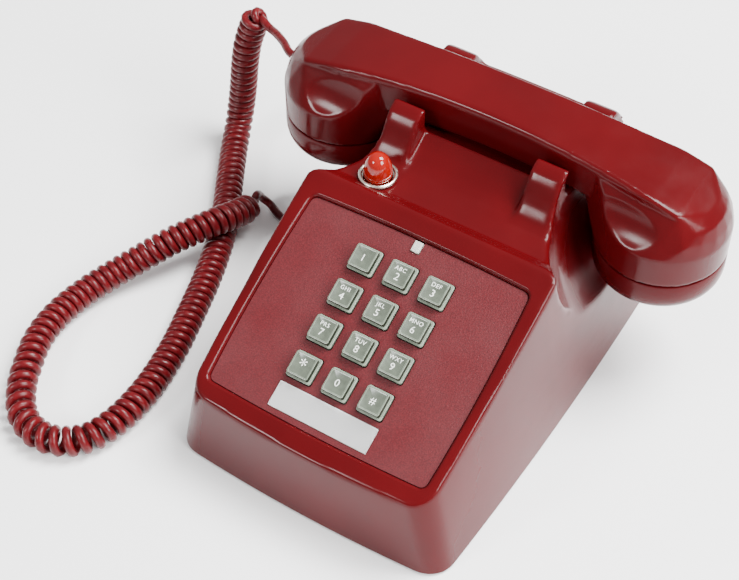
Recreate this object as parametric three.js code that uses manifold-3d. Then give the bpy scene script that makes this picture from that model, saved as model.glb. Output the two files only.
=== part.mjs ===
// Push-button desk telephone with a cradle handset, a message lamp and a curly cord.
// Units are millimetres, +Z is up, the keypad faces -Y and +X is to the user's right.
import * as THREE from 'three';
import { mergeVertices } from 'three/addons/utils/BufferGeometryUtils.js';
import { ConvexGeometry } from 'three/addons/geometries/ConvexGeometry.js';
import Module from 'manifold-3d';

const wasm = await Module();
wasm.setup();

// ---------- driving dimensions ----------
const gap = 0.3;                       // clearance between neighbouring pieces
const wall = 3;                        // moulded wall of the housing
const housing = {
  half: 70.4, bulge: 2.1, depth: 214, corner: 12.7, bottom: 1.5, top: 113,
  rimHalf: 63, frontLean: 2, rearLean: 17,
};
const face = { tilt: THREE.MathUtils.degToRad(25.4), y: 56.2, z: 67.7, rim: 2 };
const plate = { half: 55, low: -50, high: 44, bow: 1.2, corner: 3, thick: 2.6 };
const key = { pitch: 18, size: 12.4, top: 10.6, flange: 1.4, rise: 4.6, stem: 7 };
const shelf = { crest: 106, start: 112, z: 90, foot: 124 };
const prong = { x: 35.5, wide: 14.5 };
const cradle = { front: 147.5, rear: 186.5, floor: 94, lip: 100.5 };
const scoop = { x: 88, z: 98, rx: 45, rz: 57, ry: 56, front: 150, rear: 182 };
const recess = { half: 30, low: 58, high: 83, depth: 17 };
const foot = { r: 8, x: 54, front: 16, rear: 196 };
const floor = { low: 3, thick: 1.6 };   // base plate
const handset = {
  y: 166.5, top: 119, thick: 23, half: 113, waist: 15.2, low: 11.5,
  cupX: 83, cupR: 30, seam: 74, rim: 90, capFace: 57, boreR: 25.6,
};
const lamp = { x: -35.5, y: 118.5, bezelR: 9, holeR: 7.4, lensR: 6.8 };
const hook = { z: 76, pivotY: 146, plungerR: 2.9 };
const jack = { y: 133.5, z: 11, lineX: 26, lineZ: 15 };
const bell = { y: 44, x: 34.4, largeR: 27, smallR: 26.4, postR: 3 };
const wheel = { x: 57.5, y: 104, z: 12.2, r: 11 };
const cord = { r: 2.1, coilR: 7.4 };

// ---------- materials ----------
function finish(color, roughness, metalness = 0, extra = {}) {
  return new THREE.MeshStandardMaterial({ color, roughness, metalness, ...extra });
}
const finishes = {
  shell: finish(0x8c1518, 0.2), pebble: finish(0x8a2225, 0.55), keys: finish(0x87897c, 0.4),
  cord: finish(0x5c1216, 0.45), steel: finish(0xb4b6b8, 0.35, 0.9), nickel: finish(0xd8d4c8, 0.2, 1),
  brass: finish(0xb89b52, 0.35, 0.9), rubber: finish(0x2a2a2a, 0.9), black: finish(0x1b1b1c, 0.6),
  clear: finish(0xe8e6da, 0.2, 0, { transparent: true, opacity: 0.5 }), card: finish(0xf2f2ee, 0.8),
  lens: finish(0xe02a10, 0.15, 0, { transparent: true, opacity: 0.8 }), board: finish(0x8a7a48, 0.7),
  copper: finish(0xa4572b, 0.5, 0.6),
};

// ---------- geometry helpers ----------
function weld(geometry) {
  const bare = geometry.clone();
  for (const name of ['normal', 'uv', 'color']) bare.deleteAttribute(name);
  return mergeVertices(bare, 1e-4);
}

function solid(geometry) {
  const g = weld(geometry);
  return new wasm.Manifold(new wasm.Mesh({
    numProp: 3, vertProperties: new Float32Array(g.attributes.position.array),
    triVerts: new Uint32Array(g.index.array),
  }));
}

function fromSolid(manifold) {
  const mesh = manifold.getMesh();
  const g = new THREE.BufferGeometry();
  g.setAttribute('position', new THREE.BufferAttribute(new Float32Array(mesh.vertProperties), 3));
  g.setIndex(new THREE.BufferAttribute(new Uint32Array(mesh.triVerts), 1));
  return g;
}

const join = (...g) => fromSolid(g.slice(1).reduce((a, b) => a.add(solid(b)), solid(g[0])));
const cut = (g, ...tools) => fromSolid(tools.reduce((a, b) => a.subtract(solid(b)), solid(g)));
const common = (a, b) => fromSolid(solid(a).intersect(solid(b)));

function box(x0, x1, y0, y1, z0, z1) {
  const g = new THREE.BoxGeometry(x1 - x0, y1 - y0, z1 - z0);
  return g.translate((x0 + x1) / 2, (y0 + y1) / 2, (z0 + z1) / 2);
}

// Upright cylinder from z0 to z1.
function post(x, y, z0, z1, r, sides = 20, rTop = r) {
  const g = new THREE.CylinderGeometry(rTop, r, z1 - z0, sides);
  return g.rotateX(Math.PI / 2).translate(x, y, (z0 + z1) / 2);
}

// Body of revolution about Z; the profile is a list of [radius, z] that starts and ends on the axis.
function turned(profile, sides = 24) {
  const points = profile.map(([r, z]) => new THREE.Vector2(r, z));
  const outward = THREE.ShapeUtils.area(points) > 0 ? points : points.reverse();
  return new THREE.LatheGeometry(outward, sides).rotateX(Math.PI / 2);
}

function roundedRect(x0, x1, y0, y1, r, bow = 0) {
  const xm = (x0 + x1) / 2;
  const ym = (y0 + y1) / 2;
  const s = new THREE.Shape();
  const side = (cx, cy, x, y) => (bow ? s.quadraticCurveTo(cx, cy, x, y) : s.lineTo(x, y));
  const turn = (x, y, from) => s.absarc(x, y, r, from * Math.PI, (from + 0.5) * Math.PI, false);
  s.moveTo(x0 + r, y0);
  side(xm, y0 - 2 * bow, x1 - r, y0);
  turn(x1 - r, y0 + r, -0.5);
  side(x1 + 2 * bow, ym, x1, y1 - r);
  turn(x1 - r, y1 - r, 0);
  side(xm, y1 + 2 * bow, x0 + r, y1);
  turn(x0 + r, y1 - r, 0.5);
  side(x0 - 2 * bow, ym, x0, y0 + r);
  turn(x0 + r, y0 + r, 1);
  return s;
}

function prism(shape, depth, steps = 1, curveSegments = 4) {
  return new THREE.ExtrudeGeometry(shape, { depth, steps, curveSegments, bevelEnabled: false });
}

// Side outline in Y and Z, made into a slab that is `half` wide to each side of X = 0.
function slab(points, half) {
  const shape = new THREE.Shape(points.map(([y, z]) => new THREE.Vector2(y, z)));
  const turn = new THREE.Matrix4().makeBasis(
    new THREE.Vector3(0, 1, 0), new THREE.Vector3(0, 0, 1), new THREE.Vector3(1, 0, 0));
  return prism(shape, 2 * half).translate(0, 0, -half).applyMatrix4(turn);
}

// From the inclined face's own frame (u across, v up the slope, w outwards) to the housing frame.
const slope = new THREE.Matrix4().makeRotationX(face.tilt).setPosition(0, face.y, face.z);
const onFace = (g) => g.applyMatrix4(slope);

// ---------- housing ----------
const rimHeight = (y) => Math.min(face.z + face.rim + (y - face.y) * Math.tan(face.tilt), 93.5);

// Drafted block on the footprint, moved in by `inset` on every side.
function block(inset) {
  const h = housing;
  const outline = roundedRect(-h.half + inset, h.half - inset, inset, h.depth - inset,
    h.corner - inset, h.bulge);
  const g = prism(outline, h.top + 3, 5, 4);
  const p = g.attributes.position;
  for (let i = 0; i < p.count; i += 1) {
    const [x, y, z] = [p.getX(i), p.getY(i), p.getZ(i)];
    const up = z / rimHeight(Math.max(y, 4));
    const draft = (h.half + h.bulge - h.rimHalf) / (h.half + h.bulge);
    const back = y / h.depth;
    p.setX(i, x * (1 - draft * Math.min(up, 1.25)));
    p.setY(i, y + (1 - back) * h.frontLean * up - back * h.rearLean * (z / h.top));
  }
  return g;
}

// Side outline of the housing, lowered by `inset` along the top.
function profile(inset) {
  const rise = Math.tan(face.tilt);
  const top = face.rim - inset / Math.cos(face.tilt);
  const onSlope = (y) => [y, face.z + top + (y - face.y) * rise];
  return [
    [-20, -5], onSlope(-20), onSlope(shelf.crest), [shelf.start, shelf.z - inset],
    [shelf.foot + inset, shelf.z - inset], [128.6 + inset, 92 - inset], [132.6 + inset, 96.2 - inset],
    [135.8 + inset, 101.2 - inset], [138.2 + inset, 105.8 - inset], [141 + inset, 109.2 - inset],
    [144.8 + inset, 111.3 - inset], [149.4, 112 - inset], [184, 110.8 - inset],
    [191 - inset, 110.8 - inset], [194.6 - inset, 109 - inset], [197 - inset, 105.4 - inset],
    [240, 60], [240, -5],
  ];
}

function scoopTool(side, grow) {
  const s = scoop;
  const rx = s.rx + grow;
  const rz = s.rz + grow;
  const place = (g, y) => g.translate(side * s.x, y, s.z);
  const ball = (y) => place(new THREE.SphereGeometry(1, 24, 14).rotateX(Math.PI / 2)
    .scale(rx, s.ry + grow, rz), y);
  const tube = place(new THREE.CylinderGeometry(1, 1, s.rear - s.front, 24)
    .scale(rx, 1, rz), (s.front + s.rear) / 2);
  return [ball(s.front), ball(s.rear), tube];
}

// Room for the handle between the front and rear prongs, and between left and right prongs.
function cradleTools(grow) {
  const inner = prong.x - prong.wide / 2 + grow;
  const low = cradle.floor - grow;
  const sweep = [[122, 90.2], [128, 90.6], [134, 92.6], [140, 95.8], [144, 98.4],
    [cradle.front, cradle.lip]];
  const trough = roundedRect(cradle.front - grow, cradle.rear + grow, low, 160, 5);
  const across = new THREE.Matrix4().makeBasis(
    new THREE.Vector3(0, 1, 0), new THREE.Vector3(0, 0, 1), new THREE.Vector3(1, 0, 0));
  return [
    prism(trough, 240).translate(0, 0, -120).applyMatrix4(across),
    slab([...sweep.map(([y, z]) => [y, z - grow]), [240, cradle.lip - grow], [240, 160], [122, 160]],
      inner),
  ];
}

function recessTool(grow) {
  const r = recess;
  const back = housing.depth - housing.rearLean * (r.low / housing.top);
  return box(-r.half - grow, r.half + grow, back - r.depth - grow, 240, r.low - grow, r.high + grow);
}

function body(inset) {
  return cut(common(block(inset), slab(profile(inset), 100)),
    ...scoopTool(1, inset), ...scoopTool(-1, inset), ...cradleTools(inset), recessTool(inset));
}

const plungerHole = (side) => post(side * prong.x, handset.y, 80, 100, hook.plungerR + gap, 16);
const plateShape = (grow) => roundedRect(-plate.half - grow, plate.half + grow, plate.low - grow,
  plate.high + grow, plate.corner, plate.bow);

function makeHousing() {
  const opening = onFace(prism(plateShape(gap), 40).translate(0, 0, -20));
  const jackHole = box(-90, -60, jack.y - 8, jack.y + 8, jack.z - 5.5, jack.z + 5.5);
  const lineHole = box(jack.lineX - 8, jack.lineX + 8, 200, 230, jack.lineZ - 7, jack.lineZ + 7);
  const lampHole = post(lamp.x, lamp.y, 70, 100, lamp.holeR, 20);
  const lampSeat = post(lamp.x, lamp.y, shelf.z, 100, lamp.bezelR + gap, 20);
  const shell = cut(body(0), body(wall), box(-100, 100, -20, 240, -10, housing.bottom));
  const bosses = [post(0, 7, 5, 42, 4, 10), post(0, 205, 5, 50, 4, 10)];
  const pilots = [7, 205].map((y) => post(0, y, 0, 16, 1.8, 10));
  return cut(join(shell, ...bosses), ...pilots, opening, plungerHole(1), plungerHole(-1), lampHole,
    lampSeat, jackHole, lineHole);
}

// ---------- base plate and feet ----------
const floorTop = floor.low + floor.thick;
const footSpots = { front_left: [-foot.x, foot.front], front_right: [foot.x, foot.front],
  rear_left: [-foot.x, foot.rear], rear_right: [foot.x, foot.rear] };

function makeBasePlate() {
  const sheet = common(block(wall + 2 * gap), box(-100, 100, -20, 240, floor.low, floorTop));
  const screws = [7, 205].map((y) => post(0, y, 0, 16, 2.2, 12));
  const slot = box(wheel.x - 2.4, wheel.x + 2.4, wheel.y - 13, wheel.y + 13, 0, 20);
  return cut(sheet, ...screws, slot);
}

const makeFoot = (x, y) => turned([[0, 0], [foot.r - 1, 0], [foot.r, 0.8], [foot.r - 0.6,
  floor.low - gap], [0, floor.low - gap]], 20).translate(x, y, 0);

const makeScrew = (y) => turned([[0, 1.2], [3, 1.2], [3.6, 1.9], [3.6, floor.low - gap],
  [1.5, floor.low - gap], [1.5, 15], [0, 15.6]], 12).translate(0, y, 0);

// ---------- keypad ----------
const keyNames = [['key_1', 'key_2', 'key_3'], ['key_4', 'key_5', 'key_6'],
  ['key_7', 'key_8', 'key_9'], ['key_star', 'key_0', 'key_pound']];
const keySpots = keyNames.flatMap((row, i) => row.map((name, j) => ({
  name, u: (j - 1) * key.pitch, v: (1.5 - i) * key.pitch,
})));
const square = (half, r = 1) => roundedRect(-half, half, -half, half, r);
const card = { half: 24.8, low: -48.1, high: -36.3, slot: 0.9 };
const latch = { half: 2, low: 39.6, high: 44.7 };

function makeFaceplate() {
  const holes = keySpots.map(({ u, v }) => prism(square(key.size / 2 + 0.4), 20, 1, 2)
    .translate(u, v, -10));
  const cardSlot = box(-card.half - gap, card.half + gap, card.low - gap, card.high + gap,
    -card.slot, 5);
  const latchSlot = box(-latch.half - gap, latch.half + gap, latch.low - gap, latch.high + 9, -9, 5);
  const flat = prism(plateShape(0), plate.thick).translate(0, 0, -plate.thick);
  return onFace(cut(flat, ...holes, cardSlot, latchSlot));
}

const makeCard = () => onFace(box(-card.half, card.half, card.low, card.high, gap - card.slot, -0.35));
const makeWindow = () => onFace(box(-card.half, card.half, card.low, card.high, -0.05, 0.45));
const makeLatch = () => onFace(join(
  box(-latch.half, latch.half, latch.low, latch.high, -0.6, 1),
  box(-latch.half, latch.half, latch.high - 1.4, latch.high, -plate.thick, 0)));

function makeKey(u, v) {
  const half = key.size / 2;
  const flange = prism(square(half), key.flange, 1, 2);
  const cap = prism(square(key.top / 2), key.rise - key.flange + 0.4, 1, 2)
    .translate(0, 0, key.flange - 0.4);
  const skirt = box(1 - half, half - 1, 1 - half, half - 1, -key.stem, 0.5);
  return onFace(join(flange, cap, skirt).translate(u, v, 0));
}

function makeDialFrame() {
  const outer = box(-50, 50, -46, 41, -16, -plate.thick - gap);
  const windows = [-1, 1].map((s) => box(s > 0 ? 34 : -46, s > 0 ? 46 : -34, -40, 35, -30, 5));
  return onFace(cut(outer, box(-30, 30, -36, 36, -30, 5), ...windows));
}

function makeKeypadModule() {
  const walls = box(-29.4, 29.4, -35.4, 35.4, -15, -plate.thick - 2 * gap);
  const wells = keySpots.map(({ u, v }) => box(u - 5.8, u + 5.8, v - 5.8, v + 5.8, -13, 5));
  return onFace(cut(walls, ...wells));
}

const makeBoard = () => onFace(box(-28, 28, -34, 34, -17.4, -15.4));

// ---------- message lamp ----------
function makeBezel() {
  const [z, r] = [shelf.z + gap, lamp.bezelR];
  return turned([[6.4, z - 7], [lamp.holeR - gap, z - 7], [lamp.holeR - gap, z], [r, z],
    [r, z + 1.4], [r - 0.8, z + 2.4], [r - 1.7, z + 2.4], [6.4, z + 1.2], [6.4, z - 7]], 20)
    .translate(lamp.x, lamp.y, 0);
}

function makeLens() {
  const [z, r] = [shelf.z + 2.6, lamp.lensR];
  const dome = [1.3, 1, 0.7, 0.35].map((a) => [r * Math.cos(a), z + 1 + 10 * Math.sin(a)]);
  return turned([[0, z + 11], ...dome, [r, z + 1], [r, z], [6, z - 1.2], [6, z - 8],
    [4.6, z - 8], [4.6, z + 3], [2.6, z + 7], [0, z + 8]], 16).translate(lamp.x, lamp.y, 0);
}

const makeBulb = () => turned([[0, 78], [2.6, 78], [2.6, 84], [3.2, 88], [2.4, 92], [0, 93.6]], 14)
  .translate(lamp.x, lamp.y, 0);
const makeLampHolder = () => turned([[0, 71], [6, 71], [6, 81.5], [3.4, 81.5], [3.4, 77.4], [0, 77.4]],
  18).translate(lamp.x, lamp.y, 0);

// ---------- hook switch ----------
const makePlunger = (side) => turned([[0, hook.z + 3], [4.4, hook.z + 3], [4.4, hook.z + 5.5],
  [hook.plungerR, hook.z + 5.5], [hook.plungerR, 93.4], [1.6, 94.4], [0, 94.4]], 16)
  .translate(side * prong.x, handset.y, 0);

function rodX(x0, x1, y, z, r, sides = 14) {
  return new THREE.CylinderGeometry(r, r, x1 - x0, sides).rotateZ(Math.PI / 2)
    .translate((x0 + x1) / 2, y, z);
}

function makeHookLever() {
  const arm = (s) => box(s * prong.x - 2.5, s * prong.x + 2.5, hook.pivotY - 1, handset.y + 3,
    hook.z - 0.6, hook.z + 2.6);
  return join(rodX(-37, 37, hook.pivotY, hook.z, 2), arm(1), arm(-1),
    box(-2, 2, hook.pivotY, hook.pivotY + 12, hook.z - 1, hook.z + 0.6));
}

function makeHookBracket() {
  const ear = (s) => box(s > 0 ? 24 : -26, s > 0 ? 26 : -24, hook.pivotY - 6, hook.pivotY + 6, 60, 81);
  const leg = (s) => box(s > 0 ? 20 : -26, s > 0 ? 26 : -20, 140, 144, floorTop + gap, 61);
  const deck = box(-26, 26, 140, 152, 60, 62);
  return cut(join(deck, ear(1), ear(-1), leg(1), leg(-1)),
    rodX(-40, 40, hook.pivotY, hook.z, 2.3));
}

const makeContacts = () => join(box(-7, 7, 146, 151.5, 62.3, 70), box(-5, 5, 150, 160, 68, 69.2),
  box(-5, 5, 150, 160, 65, 66.2));

// ---------- works inside ----------
const makeNetwork = () => join(box(-32, 32, 154, 191, floorTop + gap, 42),
  ...[-24, -12, 0, 12, 24].map((x) => post(x, 185, 41, 45, 2.4, 8)));

function makeRingerFrame() {
  const z = floorTop + gap;
  const deck = box(-38, 54, 34, 98, z, z + 1.8);
  const posts = [-1, 1].map((s) => post(s * bell.x, bell.y, z, 23, bell.postR, 14));
  const pin = rodX(53, 60.4, wheel.y, wheel.z, 1.7, 12);
  const pivot = post(0, 64, z, 10.5, 1.6, 12);
  const ears = [-1, 1].map((s) => box(s > 0 ? 19 : -21, s > 0 ? 21 : -19, 80, 92, z, 34));
  const core = rodX(-20, 20, 86, 22, 4);
  return join(deck, ...posts, box(51.6, 54, 94, 110, z, 18), pin, pivot, ...ears, core);
}

const makeRingerCoil = () => cut(join(rodX(-18.4, 18.4, 86, 22, 10, 20), rodX(-18.4, -16.8, 86, 22, 12, 20),
  rodX(16.8, 18.4, 86, 22, 12, 20)), rodX(-30, 30, 86, 22, 4.3, 20));

function makeGong(side, r) {
  const out = [[bell.postR + gap, 21], [8, 21], [r * 0.62, 19.6], [r * 0.86, 17], [r, 12], [r, 9],
    [r - 1.5, 9], [r - 1.5, 11.8], [r * 0.82, 15.4], [r * 0.6, 17.9], [8, 19.3],
    [bell.postR + gap, 19.3], [bell.postR + gap, 21]];
  return turned(out, 20).translate(side * bell.x, bell.y, 0);
}

const makeClapper = () => join(post(0, 64, 10.9, 13.3, 4, 14), box(-1, 1, 46, 63, 11.2, 12.8),
  turned([[0, 8.4], [2.4, 9.2], [3.4, 12], [2.4, 14.8], [0, 15.6]], 14).translate(0, 44, 0),
  box(-1.6, 1.6, 65, 71, 11.2, 13));

function makeWheel() {
  const rim = new THREE.Shape();
  for (let i = 0; i < 48; i += 1) {
    const a = (i * 2 * Math.PI) / 48;
    const r = wheel.r - (i % 2 ? 0.5 : 0);
    rim[i ? 'lineTo' : 'moveTo'](r * Math.cos(a), r * Math.sin(a));
  }
  const across = new THREE.Matrix4().makeBasis(
    new THREE.Vector3(0, 1, 0), new THREE.Vector3(0, 0, 1), new THREE.Vector3(1, 0, 0));
  const disc = prism(rim, 4).applyMatrix4(across).translate(wheel.x - 2, wheel.y, wheel.z);
  return cut(disc, rodX(50, 64, wheel.y, wheel.z, 2, 12));
}

// ---------- jacks ----------
const makeHandsetJack = () => cut(
  box(-71, -56, jack.y - 7.7, jack.y + 7.7, jack.z - 5.2, jack.z + 5.2),
  box(-80, -60, jack.y - 4.7, jack.y + 4.7, jack.z - 3.4, jack.z + 3.4));
const makeLineJack = () => cut(
  box(jack.lineX - 7.7, jack.lineX + 7.7, 194, 211.6, jack.lineZ - 6.7, jack.lineZ + 6.7),
  box(jack.lineX - 5.9, jack.lineX + 5.9, 198, 220, jack.lineZ - 3.8, jack.lineZ + 3.8));
const makeBasePlug = () => join(
  box(-77, -62, jack.y - 4.2, jack.y + 4.2, jack.z - 3, jack.z + 3),
  box(-73, -64, jack.y - 1.6, jack.y + 1.6, jack.z + 2.5, jack.z + 3.1));

// ---------- handset, with Y = 0 on its middle line ----------
const arch = (x) => handset.top - 4 * (x / 65) ** 2;

function makeHandle() {
  const { waist, low, thick } = handset;
  const right = [[low, 0], [low + 2.2, 3], [waist, thick - 2.4], [waist - 1.4, thick]];
  const section = new THREE.Shape([...right, ...right.map(([y, z]) => [-y, z]).reverse()]
    .map(([y, z]) => new THREE.Vector2(y, z)));
  const along = new THREE.Matrix4().makeBasis(
    new THREE.Vector3(0, 1, 0), new THREE.Vector3(0, 0, 1), new THREE.Vector3(1, 0, 0));
  const reach = handset.cupX - 2;
  const g = prism(section, 2 * reach, 20).translate(0, 0, -reach).applyMatrix4(along);
  const p = g.attributes.position;
  for (let i = 0; i < p.count; i += 1) {
    const x = p.getX(i);
    p.setY(i, p.getY(i) * (1 + 0.13 * (x / 60) ** 2));
    p.setZ(i, arch(x) - thick + p.getZ(i));
  }
  return g;
}

function ringPoints(r, z, sides = 28) {
  return Array.from({ length: sides }, (_, i) => {
    const a = (i * 2 * Math.PI) / sides;
    return new THREE.Vector3(r * Math.cos(a), r * Math.sin(a), z);
  });
}

// One end of the shell: from the flat back to the round seam above the cap.
function makeCup(side) {
  const { cupR, seam, rim, cupX } = handset;
  const points = [...ringPoints(cupR, seam), ...ringPoints(cupR, rim)];
  for (const s of [-1, 1]) {
    points.push(new THREE.Vector3(-24 * side, s * 14.5, 112));
    points.push(new THREE.Vector3(12 * side, s * 18.4, 110.6));
    points.push(new THREE.Vector3(21 * side, s * 15, 106.5));
  }
  points.push(new THREE.Vector3(26.5 * side, 0, 101));
  return new ConvexGeometry(points).translate(side * cupX, 0, 0);
}

function makeHandsetShell() {
  const { cupX, seam, boreR, half } = handset;
  const bores = [-1, 1].flatMap((s) => [post(s * cupX, 0, 40, seam + 7, boreR, 28),
    post(s * cupX, 0, seam + 6, seam + 14, 18, 20)]);
  const socket = box(-half - 10, -half + 9, -4, 4, 86, 93);
  return cut(join(makeHandle(), makeCup(1), makeCup(-1)), ...bores, socket);
}

const makeHandsetPlug = () => box(-handset.half + gap, -handset.half + 8.6, -3.6, 3.6, 86.4, 92.6);

function makeCap(side) {
  const { cupR, seam, capFace, boreR, cupX } = handset;
  const spigot = boreR - gap;
  const outline = [[0, capFace + 1], [15, capFace + 0.6], [22, capFace], [26.5, capFace + 2.4],
    [cupR - 0.6, capFace + 7], [cupR, seam - gap], [spigot, seam - gap], [spigot, seam + 4.5],
    [spigot - 2.1, seam + 4.5], [spigot - 2.5, capFace + 6], [0, capFace + 4]];
  const rings = side > 0 ? [[0, 1], [7, 6]] : [[5, 5], [12, 10]];
  const holes = rings.flatMap(([r, count]) => ringPoints(r, 0, count)
    .map(({ x, y }) => post(x, y, 40, capFace + 12, 1.2, 6)));
  return cut(turned(outline, 28), ...holes).translate(side * cupX, 0, 0);
}

function makeCapsule(side, r) {
  const z = handset.capFace + 8;
  return turned([[0, z], [r - 2, z], [r, z + 2], [r, z + 12], [r - 6, z + 15], [0, z + 15]], 24)
    .translate(side * handset.cupX, 0, 0);
}

// ---------- cord ----------
const lead = [[-113.4, 166.5, 89.5], [-118, 168.4, 89.2], [-124.3, 173.6, 87.8],
  [-133, 179.6, 85.4], [-140.6, 184, 83]];
const coil = [[-149.4, 186.8, 84], [-153.4, 186.4, 75], [-155.6, 184.8, 66], [-157.8, 184.2, 53],
  [-160, 184, 36], [-161.4, 182.4, 22], [-160.2, 176.4, 11.4], [-155.1, 165.6, 7.6],
  [-144, 146.3, 7.6], [-133, 127.7, 7.6], [-124.6, 112.5, 7.6], [-118.4, 98, 7.6], [-113.2, 84, 7.6],
  [-106.4, 62, 7.6], [-99.9, 38.2, 7.6], [-96.2, 14.6, 7.6], [-96.6, -7, 7.6], [-101.1, -21.5, 7.6],
  [-109, -29.6, 7.6], [-120.8, -33, 7.6], [-134, -29, 7.6], [-145.1, -17.5, 7.6], [-153.3, -2.4, 7.6],
  [-158.6, 11.5, 7.6], [-160.4, 27, 7.6], [-158.4, 43.5, 8], [-152.6, 59.3, 10.2],
  [-144.6, 72.6, 14.6], [-136, 84.6, 19.9], [-128.6, 95.8, 22.6], [-122.6, 107.6, 22.6],
  [-119.4, 119.6, 19.2], [-118.6, 130.6, 16]];
const baseLead = [[-119.6, 136.2, 17.4], [-121.6, 141, 13], [-122.6, 144.6, 7], [-119, 146.2, 3],
  [-113, 143.6, 2.3], [-105, 140.4, 3], [-98, 137, 6], [-91.4, 134.4, 9.6], [-85, 133.5, 11],
  [-77.7, 133.5, 11]];

function tube(points, r, sides, steps) {
  const path = new THREE.CatmullRomCurve3(points.map((p) => new THREE.Vector3(...p)), false,
    'centripetal');
  const section = new THREE.Shape(ringPoints(r, 0, sides).map(({ x, y }) => new THREE.Vector2(x, y)));
  return new THREE.ExtrudeGeometry(section, { steps, extrudePath: path, bevelEnabled: false });
}

// ---------- assembly ----------
const group = new THREE.Group();
const base = new THREE.Group();
base.position.set(0, -housing.depth / 2, 0);
const receiver = new THREE.Group();
receiver.position.set(0, handset.y - housing.depth / 2, 0);
group.add(base, receiver);

function put(parent, name, geometry, look) {
  const mesh = new THREE.Mesh(geometry, finishes[look].clone());
  mesh.name = name;
  parent.add(mesh);
}

put(base, 'housing', makeHousing(), 'shell');
put(base, 'base_plate', makeBasePlate(), 'steel');
for (const [where, [x, y]] of Object.entries(footSpots)) {
  put(base, `foot_${where}`, makeFoot(x, y), 'rubber');
}
put(base, 'base_screw_front', makeScrew(7), 'steel');
put(base, 'base_screw_rear', makeScrew(205), 'steel');
put(base, 'faceplate', makeFaceplate(), 'pebble');
put(base, 'faceplate_latch', makeLatch(), 'clear');
put(base, 'label_card', makeCard(), 'card');
put(base, 'label_window', makeWindow(), 'clear');
put(base, 'dial_frame', makeDialFrame(), 'steel');
put(base, 'keypad_module', makeKeypadModule(), 'black');
put(base, 'keypad_board', makeBoard(), 'board');
keySpots.forEach(({ name, u, v }) => put(base, name, makeKey(u, v), 'keys'));
put(base, 'lamp_bezel', makeBezel(), 'nickel');
put(base, 'lamp_lens', makeLens(), 'lens');
put(base, 'lamp_bulb', makeBulb(), 'clear');
put(base, 'lamp_holder', makeLampHolder(), 'black');
put(base, 'hook_plunger_left', makePlunger(-1), 'clear');
put(base, 'hook_plunger_right', makePlunger(1), 'clear');
put(base, 'hook_lever', makeHookLever(), 'steel');
put(base, 'hook_bracket', makeHookBracket(), 'steel');
put(base, 'switch_contacts', makeContacts(), 'brass');
put(base, 'network_block', makeNetwork(), 'black');
put(base, 'ringer_frame', makeRingerFrame(), 'steel');
put(base, 'ringer_coil', makeRingerCoil(), 'copper');
put(base, 'gong_left', makeGong(-1, bell.largeR), 'brass');
put(base, 'gong_right', makeGong(1, bell.smallR), 'brass');
put(base, 'ringer_clapper', makeClapper(), 'steel');
put(base, 'volume_wheel', makeWheel(), 'black');
put(base, 'handset_jack', makeHandsetJack(), 'black');
put(base, 'line_jack', makeLineJack(), 'black');
put(base, 'cord_plug_base', makeBasePlug(), 'clear');
put(receiver, 'handset_shell', makeHandsetShell(), 'shell');
put(receiver, 'ear_cap', makeCap(1), 'shell');
put(receiver, 'mouth_cap', makeCap(-1), 'shell');
put(receiver, 'receiver_unit', makeCapsule(1, 21), 'steel');
put(receiver, 'transmitter_unit', makeCapsule(-1, 22), 'black');
put(receiver, 'cord_plug_handset', makeHandsetPlug(), 'clear');
put(base, 'cord_coil', tube(coil, cord.coilR, 10, 60), 'cord');
put(base, 'cord_lead_handset', tube(lead, cord.r, 8, 8), 'cord');
put(base, 'cord_lead_base', tube(baseLead, cord.r, 8, 12), 'cord');

export default group;
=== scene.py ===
"""Push-button desk telephone with a message lamp, a cradle handset and a curly cord."""
import logging
import math
from dataclasses import dataclass, field
from enum import Enum
from typing import Callable, Iterable, Sequence

import bmesh
import bpy
from mathutils import Matrix, Vector


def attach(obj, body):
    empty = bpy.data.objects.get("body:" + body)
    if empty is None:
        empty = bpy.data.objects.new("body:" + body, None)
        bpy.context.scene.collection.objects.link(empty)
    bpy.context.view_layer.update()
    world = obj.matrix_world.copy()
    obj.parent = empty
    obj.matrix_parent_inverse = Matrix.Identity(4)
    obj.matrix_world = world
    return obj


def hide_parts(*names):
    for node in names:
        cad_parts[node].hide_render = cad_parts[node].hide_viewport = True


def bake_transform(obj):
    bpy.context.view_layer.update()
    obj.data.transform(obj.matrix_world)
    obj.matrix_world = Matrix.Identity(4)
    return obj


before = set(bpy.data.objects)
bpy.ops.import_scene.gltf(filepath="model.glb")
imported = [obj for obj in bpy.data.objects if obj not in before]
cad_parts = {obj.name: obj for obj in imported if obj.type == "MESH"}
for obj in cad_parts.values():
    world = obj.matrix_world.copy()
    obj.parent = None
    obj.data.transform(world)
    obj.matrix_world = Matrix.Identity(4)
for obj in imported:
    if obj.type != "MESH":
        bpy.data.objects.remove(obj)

log = logging.getLogger("telephone")

MM = 0.001                         # metres in a millimetre
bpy.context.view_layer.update()              # brings the imported solids up to date, before anything is made
BASE_SHIFT = Vector((0, -107, 0))  # from the housing's front edge to the frame's origin, mm
RECEIVER_SHIFT = Vector((0, 59.5, 0))
LAMP = (-35.5, 118.5)              # where the message lamp stands, mm
PRONG_X = 35.5                     # from the middle to a prong and to a plunger, mm
CRADLE_Y = 166.5                   # from the front edge to the plungers, mm
PLATE = (55, -50, 44, 3, 1.2)      # the faceplate: half width, low end, high end, corner, bow, mm
Point = Sequence[float]
Color = tuple[float, float, float]
Shape = bmesh.types.BMesh          # a mesh under construction
Socket = bpy.types.NodeSocket
Material = bpy.types.Material


# ---------- shaping ----------
class Join(Enum):
    """How a second solid changes the first one."""

    ADD = "UNION"
    CUT = "DIFFERENCE"
    KEEP = "INTERSECT"


def fresh() -> Shape:
    """Returns an empty mesh under construction."""
    return bmesh.new()


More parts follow.
